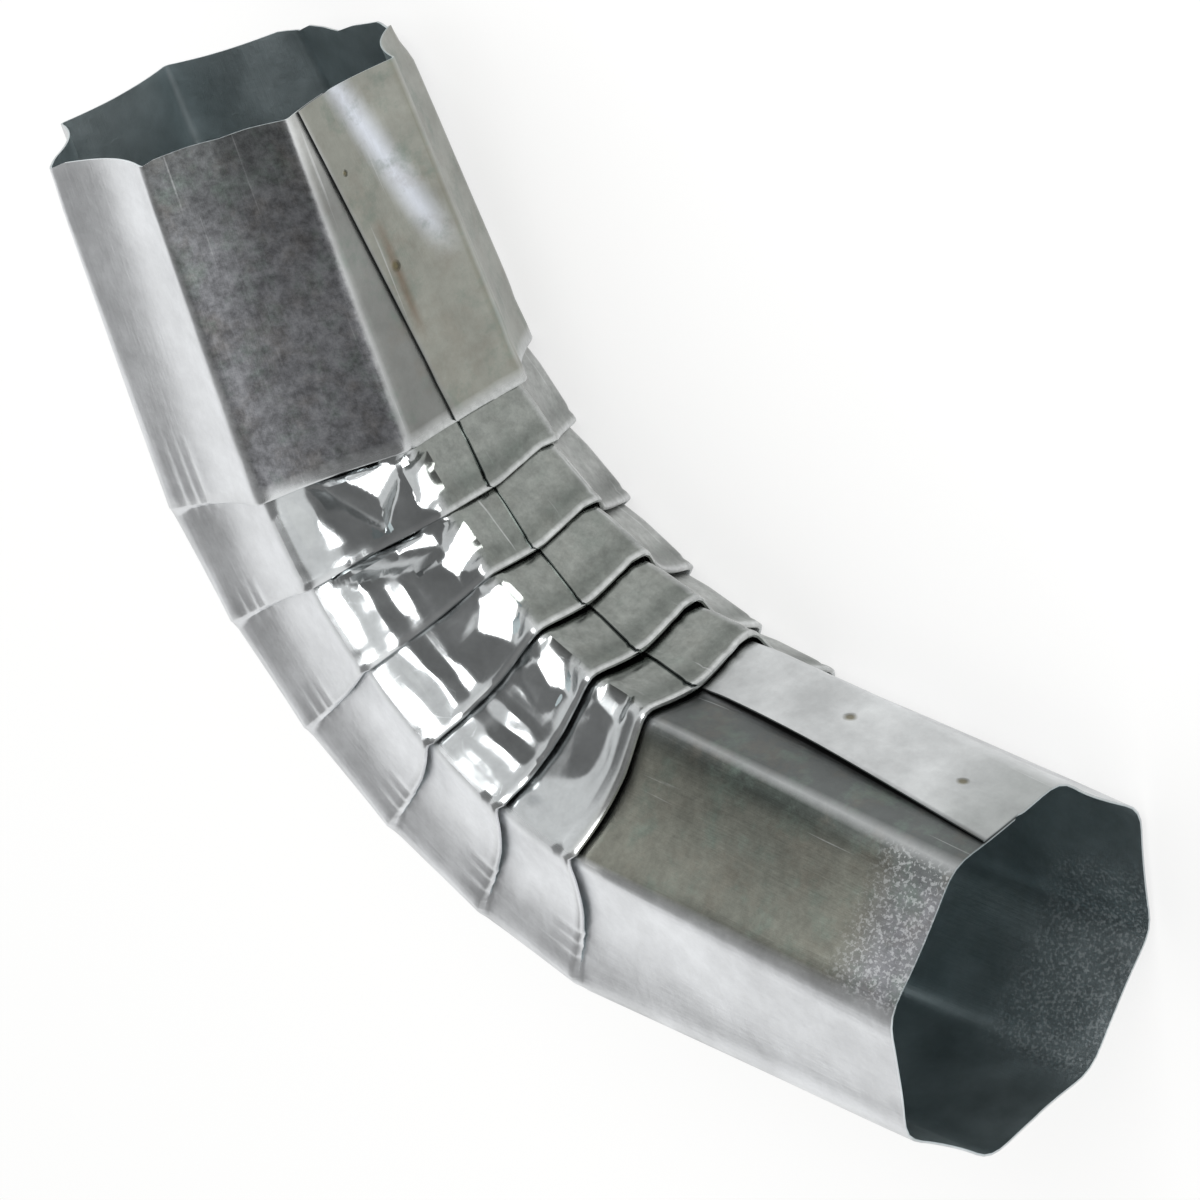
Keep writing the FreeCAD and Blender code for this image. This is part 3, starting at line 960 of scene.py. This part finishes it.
@dataclass(frozen=True)
class WeatheredZinc:
    """Hot-dip galvanised sheet steel: a grey zinc skin, dull where it has weathered, bright where worked.

    Its crystals, the spangle, show as faint patches. Rolling left fine lines along the tube. Shade, a shadow,
    highlights and glints are painted into its colour in places.
    """

    dull: str = "#C8CACB"
    dull_patch: str = "#D8DADB"
    patina: str = "#828387"
    brown: str = "#7F776C"
    green: str = "#76857C"
    olive: str = "#86877B"
    # Also the painted highlight on the inlet strip beside the seam, near the rim.
    pale: str = "#ECEEF0"
    # Painted highlight: the pale bluish streak near the inlet rim.
    highlight_streak: str = "#DDE2EC"
    worked: str = "#B4B8B9"
    shaded: str = "#818683"
    # Painted shade before the lips, and the other darkened patches.
    shade_and_smudge: str = "#4E5450"
    # Rubbed zinc; also the painted highlight on lip edges and ridges.
    worn_and_highlit: str = "#E2E4E5"
    # White flecks: zinc bloom, and painted glints.
    bloom_and_glints: str = "#EEF1F2"
    inside: str = "#ACBABD"
    rust: str = "#6E5238"
    weld: str = "#6B654C"
    # Painted shadow in the gap under the lap's edge.
    lap_shadow: str = "#242523"
    welds: tuple[tuple[float, float, float], ...] = (
        # angle round the sheet and length from the inlet rim and radius of each spot, the last two in mm
        (349.5, 230.4, 1.7),
        (353.5, 263.0, 1.5),
        (364.0, 39.2, 1.4),
        (368.5, 16.6, 0.8),
    )
    patch_mm: float = 14.0
    speckle_mm: float = 2.4
    crystal_mm: float = 3.2
    bloom_and_glint_mm: float = 0.8
    roll_line_mm: float = 0.7
    dull_roughness: float = 0.42
    pale_roughness: float = 0.38
    worked_roughness: float = 0.17

    def material(self) -> bpy.types.Material:
        """Builds the material; its patterns follow the sheet through its own attributes and map."""
        made = bpy.data.materials.new("weathered_zinc")
        made.use_nodes = True
        tree = made.node_tree
        tree.nodes.clear()
        place = add_node(tree, "ShaderNodeTexCoord").outputs["Object"]
        flat = add_node(tree, "ShaderNodeUVMap", uv_map="sheet").outputs[0]
        marks = {
            name: add_node(tree, "ShaderNodeAttribute", attribute_name=name).outputs["Fac"]
            for name in ("patina", "pitted", "olive", "highlight_streak", "pale", "worked", "shaded", "worn_and_highlit", "inside",
                         "rust", "lap_shadow", "shade_and_smudge", "bloom_and_glints")
        }
        patches = add_node(tree, "ShaderNodeTexNoise",
                           {"Vector": place, "Scale": 1 / (self.patch_mm * MM), "Detail": 7.0, "Roughness": 0.68})
        tints = add_node(tree, "ShaderNodeTexNoise",
                         {"Vector": place, "Scale": 1 / (self.patch_mm * 0.6 * MM), "Detail": 5.0, "Roughness": 0.7})
        tint = add_node(tree, "ShaderNodeSeparateColor", {0: tints.outputs["Color"]})
        stretched = add_node(tree, "ShaderNodeMapping", {"Vector": flat, "Scale": (1.0, 0.05, 1.0)})
        lines = add_node(tree, "ShaderNodeTexNoise",
                         {"Vector": stretched.outputs[0], "Scale": 1 / (self.roll_line_mm * MM), "Detail": 3.0,
                          "Roughness": 0.6})
        crystals = add_node(tree, "ShaderNodeTexVoronoi", {"Vector": place, "Scale": 1 / (self.crystal_mm * MM)})
        crystal = add_node(tree, "ShaderNodeSeparateColor", {0: crystals.outputs["Color"]})
        slanted = add_node(tree, "ShaderNodeMapping",
                           {"Vector": flat, "Rotation": (0.0, 0.0, 0.35), "Scale": (1.0, 0.03, 1.0)})
        scratch = add_node(tree, "ShaderNodeTexNoise",
                           {"Vector": slanted.outputs[0], "Scale": 1 / (1.6 * MM), "Detail": 2.0, "Roughness": 0.5})
        scratched = add_node(tree, "ShaderNodeMapRange",
                             {"Value": scratch.outputs[0], "From Min": 0.7, "From Max": 0.76})

        clouded = add_node(tree, "ShaderNodeMapRange",
                           {"Value": patches.outputs[0], "From Min": 0.35, "From Max": 0.65}).outputs[0]
        brownish = add_node(tree, "ShaderNodeMapRange",
                            {"Value": tint.outputs["Red"], "From Min": 0.5, "From Max": 0.68, "To Max": 0.3})
        greenish = add_node(tree, "ShaderNodeMapRange",
                            {"Value": tint.outputs["Green"], "From Min": 0.52, "From Max": 0.7, "To Max": 0.6})
        films = (
            # what it lies on, how strong it is, its colour
            (marks["pale"], 0.9, self.pale),
            (marks["worked"], 0.8, self.worked),
            (marks["shaded"], 0.8, self.shaded),
            (marks["patina"], 0.9, self.patina),
            (marks["olive"], 0.85, self.olive),
            # Painted shade before each lip, and the other darkened patches.
            (marks["shade_and_smudge"], 0.7, self.shade_and_smudge),
            # Painted highlight streak near the inlet rim.
            (marks["highlight_streak"], 0.9, self.highlight_streak),
        )
        colour = add_node(tree, "ShaderNodeMix",
                          {0: clouded, 6: srgb(self.dull), 7: srgb(self.dull_patch)}, data_type="RGBA").outputs[2]
        for mark, strength, film in films:
            share = add_node(tree, "ShaderNodeMath", {0: mark, 1: strength}, operation="MULTIPLY", use_clamp=True)
            colour = add_node(tree, "ShaderNodeMix", {0: share.outputs[0], 6: colour, 7: srgb(film)},
                              data_type="RGBA").outputs[2]
        dirty = add_node(tree, "ShaderNodeMath", {0: marks["patina"], 1: marks["olive"]}, operation="MAXIMUM")
        for blot, film in ((brownish, self.brown), (greenish, self.green)):
            share = add_node(tree, "ShaderNodeMath", {0: dirty.outputs[0], 1: blot.outputs[0]}, operation="MULTIPLY")
            colour = add_node(tree, "ShaderNodeMix", {0: share.outputs[0], 6: colour, 7: srgb(film)},
                              data_type="RGBA").outputs[2]
        spots = self.spots(tree, flat)
        flecks = add_node(tree, "ShaderNodeTexNoise",
                          {"Vector": place, "Scale": 1 / (self.bloom_and_glint_mm * MM), "Detail": 2.0, "Roughness": 0.6})
        flecked = add_node(tree, "ShaderNodeMapRange",
                           {"Value": flecks.outputs[0], "From Min": 0.52, "From Max": 0.6})
        bloomed_and_glinting = add_node(tree, "ShaderNodeMath", {0: marks["bloom_and_glints"], 1: flecked.outputs[0]}, operation="MULTIPLY")
        last = (
            (marks["rust"], 0.6, self.rust),
            (spots, 0.85, self.weld),
            (scratched.outputs[0], 0.35, self.worn_and_highlit),
            # Painted highlight on the lip edges and ridges, partly rubbed zinc.
            (marks["worn_and_highlit"], 0.6, self.worn_and_highlit),
            (marks["inside"], 0.8, self.inside),
            # White flecks: zinc bloom, and painted glints.
            (bloomed_and_glinting.outputs[0], 0.8, self.bloom_and_glints),
            # Painted shadow under the lap's edge.
            (marks["lap_shadow"], 0.92, self.lap_shadow),
        )
        for mark, strength, film in last:
            share = add_node(tree, "ShaderNodeMath", {0: mark, 1: strength}, operation="MULTIPLY")
            colour = add_node(tree, "ShaderNodeMix", {0: share.outputs[0], 6: colour, 7: srgb(film)},
                              data_type="RGBA").outputs[2]
        grained = add_node(tree, "ShaderNodeMapRange",
                           {"Value": patches.outputs[0], "From Min": 0.3, "From Max": 0.7, "To Min": 0.84, "To Max": 1.14})
        speckles = add_node(tree, "ShaderNodeTexNoise",
                            {"Vector": place, "Scale": 1 / (self.speckle_mm * MM), "Detail": 6.0, "Roughness": 0.75})
        speckled = add_node(tree, "ShaderNodeMapRange",
                            {"Value": speckles.outputs[0], "From Min": 0.36, "From Max": 0.64, "To Min": 0.64,
                             "To Max": 1.36})
        blotched = add_node(tree, "ShaderNodeMix", {0: marks["pitted"], 2: 1.0, 3: speckled.outputs[0]})
        level = add_node(tree, "ShaderNodeMath", {0: grained.outputs[0], 1: blotched.outputs[0]},
                         operation="MULTIPLY")
        colour = add_node(tree, "ShaderNodeVectorMath", {0: colour, "Scale": level.outputs[0]},
                          operation="SCALE").outputs[0]

        rough = add_node(tree, "ShaderNodeMapRange",
                         {"Value": marks["worked"], "To Min": self.dull_roughness, "To Max": self.worked_roughness})
        satin = add_node(tree, "ShaderNodeMix",
                         {0: marks["pale"], 2: rough.outputs[0], 3: self.pale_roughness})
        spread = add_node(tree, "ShaderNodeMapRange", {"Value": patches.outputs[0], "To Min": -0.08, "To Max": 0.12})
        roughness = add_node(tree, "ShaderNodeMath", {0: satin.outputs[0], 1: spread.outputs[0]}, operation="ADD")
        calm = add_node(tree, "ShaderNodeMapRange", {"Value": marks["worked"], "To Min": 0.5, "To Max": 0.06})
        rolled = add_node(tree, "ShaderNodeBump",
                          {"Strength": calm.outputs[0], "Distance": 0.00008, "Height": lines.outputs[0]})
        pebbled = add_node(tree, "ShaderNodeBump",
                           {"Strength": calm.outputs[0], "Distance": 0.0004, "Height": patches.outputs[0],
                            "Normal": rolled.outputs[0]})
        spangled = add_node(tree, "ShaderNodeBump",
                            {"Strength": 0.12, "Distance": 0.0003, "Height": crystal.outputs["Green"],
                             "Normal": pebbled.outputs[0]})
        dimpled = add_node(tree, "ShaderNodeBump",
                           {"Strength": 0.8, "Distance": 0.0005, "Height": spots, "Normal": spangled.outputs[0]},
                           invert=True)
        # The white flecks are less metallic, so that they show white.
        bare = add_node(tree, "ShaderNodeMapRange", {"Value": bloomed_and_glinting.outputs[0], "To Min": 1.0, "To Max": 0.45})
        surface = add_node(tree, "ShaderNodeBsdfPrincipled",
                           {"Base Color": colour, "Metallic": bare.outputs[0], "Roughness": roughness.outputs[0],
                            "Normal": dimpled.outputs[0]})
        add_node(tree, "ShaderNodeOutputMaterial", {"Surface": surface.outputs[0]})
        return made

    def spots(self, tree: bpy.types.NodeTree, flat: bpy.types.NodeSocket) -> bpy.types.NodeSocket:
        """Draws the marks of the lap's spot welds, each 1 at its middle.

        Args:
            tree: The material's node tree.
            flat: The sheet's own map, in metres.

        Returns:
            The share of weld mark at each point.
        """
        shares = 0.0
        for angle, length, radius in self.welds:
            middle = (sheet_width(angle) * MM, length * MM, 0.0)
            away = add_node(tree, "ShaderNodeVectorMath", {0: flat, 1: middle}, operation="DISTANCE")
            spot = add_node(tree, "ShaderNodeMapRange",
                            {"Value": away.outputs["Value"], "From Min": radius * 0.4 * MM,
                             "From Max": radius * MM, "To Min": 1.0, "To Max": 0.0})
            shares = add_node(tree, "ShaderNodeMath", {0: spot.outputs[0], 1: shares},
                              operation="MAXIMUM").outputs[0]
        return shares


@dataclass
class Studio:
    """A plain pale floor, soft lights and the camera at the photograph's viewing angle."""

    eye: tuple[float, float, float] = (0.4212, 0.5061, 0.4468)
    forward: tuple[float, float, float] = (-0.6354, -0.5523, -0.5395)
    upward: tuple[float, float, float] = (-0.3014, 0.8205, -0.4857)
    lens: float = 122.94
    floor_size: float = 6.0
    floor_colour: str = "#F4F4F2"
    room_light: float = 0.95
    ceiling: float = 0.22
    ceiling_edge: tuple[float, float] = (36.0, 46.0)

    def camera(self) -> bpy.types.Object:
        """The camera, turned so that the elbow stands in the picture as it does in the photograph."""
        data = bpy.data.cameras.new("camera")
        data.lens = self.lens
        data.sensor_width = 36.0
        data.clip_end = 20.0
        camera = bpy.data.objects.new("camera", data)
        back = -Vector(self.forward).normalized()
        up = Vector(self.upward)
        up = (up - back * up.dot(back)).normalized()
        right = up.cross(back)
        turn = Matrix((right, up, back)).transposed().to_4x4()
        camera.matrix_world = Matrix.Translation(self.eye) @ turn
        bpy.context.scene.collection.objects.link(camera)
        bpy.context.scene.camera = camera
        return camera

    def floor(self, height: float) -> bpy.types.Object:
        """The floor under the elbow, nearly white to the eye but with the elbow's soft shadow.

        Args:
            height: Where the elbow's lowest point is, in metres.

        Returns:
            The floor's object.
        """
        mesh = bpy.data.meshes.new("floor")
        half = self.floor_size / 2
        corners = [(-half, -half, height), (half, -half, height), (half, half, height), (-half, half, height)]
        mesh.from_pydata(corners, [], [(0, 1, 2, 3)])
        floor = bpy.data.objects.new("floor", mesh)
        bpy.context.scene.collection.objects.link(floor)
        made = bpy.data.materials.new("pale_floor")
        made.use_nodes = True
        tree = made.node_tree
        tree.nodes.clear()
        matt = add_node(tree, "ShaderNodeBsdfDiffuse", {"Color": srgb(self.floor_colour)})
        seen = self.seen(tree)
        glow = add_node(tree, "ShaderNodeEmission", {"Color": (1.0, 1.0, 1.0, 1.0), "Strength": 1.0})
        share = add_node(tree, "ShaderNodeMath", {0: seen, 1: 0.7}, operation="MULTIPLY")
        mixed = add_node(tree, "ShaderNodeMixShader", {0: share.outputs[0], 1: matt.outputs[0], 2: glow.outputs[0]})
        add_node(tree, "ShaderNodeOutputMaterial", {"Surface": mixed.outputs[0]})
        mesh.materials.append(made)
        return floor

    @staticmethod
    def seen(tree: bpy.types.NodeTree) -> bpy.types.NodeSocket:
        """1 for a ray from the camera, or one that a glossy or clear surface sends on."""
        light = add_node(tree, "ShaderNodeLightPath")
        first = add_node(tree, "ShaderNodeMath",
                         {0: light.outputs["Is Camera Ray"], 1: light.outputs["Is Glossy Ray"]}, operation="ADD")
        second = add_node(tree, "ShaderNodeMath", {0: first.outputs[0], 1: light.outputs["Is Transmission Ray"]},
                          operation="ADD", use_clamp=True)
        return second.outputs[0]

    def world(self) -> None:
        """A white surrounding to the eye, with a plain grey studio ceiling high above."""
        world = bpy.data.worlds.new("studio")
        bpy.context.scene.world = world
        world.use_nodes = True
        tree = world.node_tree
        tree.nodes.clear()
        seen = self.seen(tree)
        view = add_node(tree, "ShaderNodeTexCoord")
        height = add_node(tree, "ShaderNodeSeparateXYZ", {0: view.outputs["Generated"]})
        low, high = (math.sin(math.radians(edge)) for edge in self.ceiling_edge)
        ceiling = add_node(tree, "ShaderNodeMapRange",
                           {"Value": height.outputs["Z"], "From Min": low, "From Max": high,
                            "To Min": 1.0, "To Max": self.ceiling})
        light = add_node(tree, "ShaderNodeLightPath")
        shown = add_node(tree, "ShaderNodeMix",
                         {0: light.outputs["Is Camera Ray"], 2: ceiling.outputs[0], 3: 1.0})
        level = add_node(tree, "ShaderNodeMix", {0: seen, 2: self.room_light, 3: shown.outputs[0]})
        back = add_node(tree, "ShaderNodeBackground",
                        {"Color": (1.0, 1.0, 1.0, 1.0), "Strength": level.outputs[0]})
        add_node(tree, "ShaderNodeOutputWorld", {"Surface": back.outputs[0]})

    def lamp(self, name: str, azimuth: float, elevation: float, distance: float, size: tuple[float, float],
             power: float) -> None:
        """An oblong soft light that faces the elbow.

        Args:
            name: The lamp's name.
            azimuth: Its direction from the elbow, in degrees from +X towards +Y.
            elevation: Its height above the horizon, in degrees.
            distance: How far it is from the elbow, in metres.
            size: Its width and height, in metres.
            power: Its power in watts.
        """
        data = bpy.data.lights.new(name, "AREA")
        data.shape = "RECTANGLE"
        data.size, data.size_y = size
        data.energy = power
        lamp = bpy.data.objects.new(name, data)
        turn, rise = math.radians(azimuth), math.radians(elevation)
        away = Vector((math.cos(turn) * math.cos(rise), math.sin(turn) * math.cos(rise), math.sin(rise)))
        middle = Vector((-0.11, 0.04, 0.0))
        lamp.matrix_world = Matrix.Translation(middle + away * distance) @ away.to_track_quat("Z", "Y").to_matrix().to_4x4()
        bpy.context.scene.collection.objects.link(lamp)

    def build(self, height: float) -> None:
        """Sets up the whole studio."""
        self.camera()
        self.floor(height)
        self.world()
        self.lamp("key", 72, 34, 1.2, (0.8, 0.4), 7.0)
        scene = bpy.context.scene
        scene.view_settings.view_transform = "Standard"


@dataclass
class GalvanisedElbow:
    """The elbow itself: one pleated, fluted sheet with its zinc finish."""

    tube: PleatedTube = field(default_factory=PleatedTube)
    work: Handwork = field(default_factory=Handwork)
    unevenness: UnevenSheet = field(default_factory=UnevenSheet)
    finish: WeatheredZinc = field(default_factory=WeatheredZinc)

    def build(self) -> bpy.types.Object:
        """Makes the sheet, lets it stand for the CAD solid and gives it back."""
        zinc = self.finish.material()
        mesh = SheetMesh(self.tube, self.work).mesh("pleated_sheet")
        piece = bpy.data.objects.new("pleated_sheet", mesh)
        bpy.context.scene.collection.objects.link(piece)
        inputs = {
            "Depth": self.unevenness.depth * MM,
            "Grain": self.unevenness.grain * MM,
            "Seed": float(self.unevenness.seed),
            "Material": zinc,
        }
        settle(piece, self.unevenness.tree(), inputs)
        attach(piece, "root")
        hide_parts("elbow")
        log.info("%s: %d faces", piece.name, len(piece.data.polygons))
        return piece


def main() -> None:
    """Builds the elbow and the studio round it."""
    logging.basicConfig(level=logging.INFO, format="%(name)s %(message)s")
    Studio().build(CAD_BOX[0].z)
    GalvanisedElbow().build()


if __name__ == "__main__":
    main()
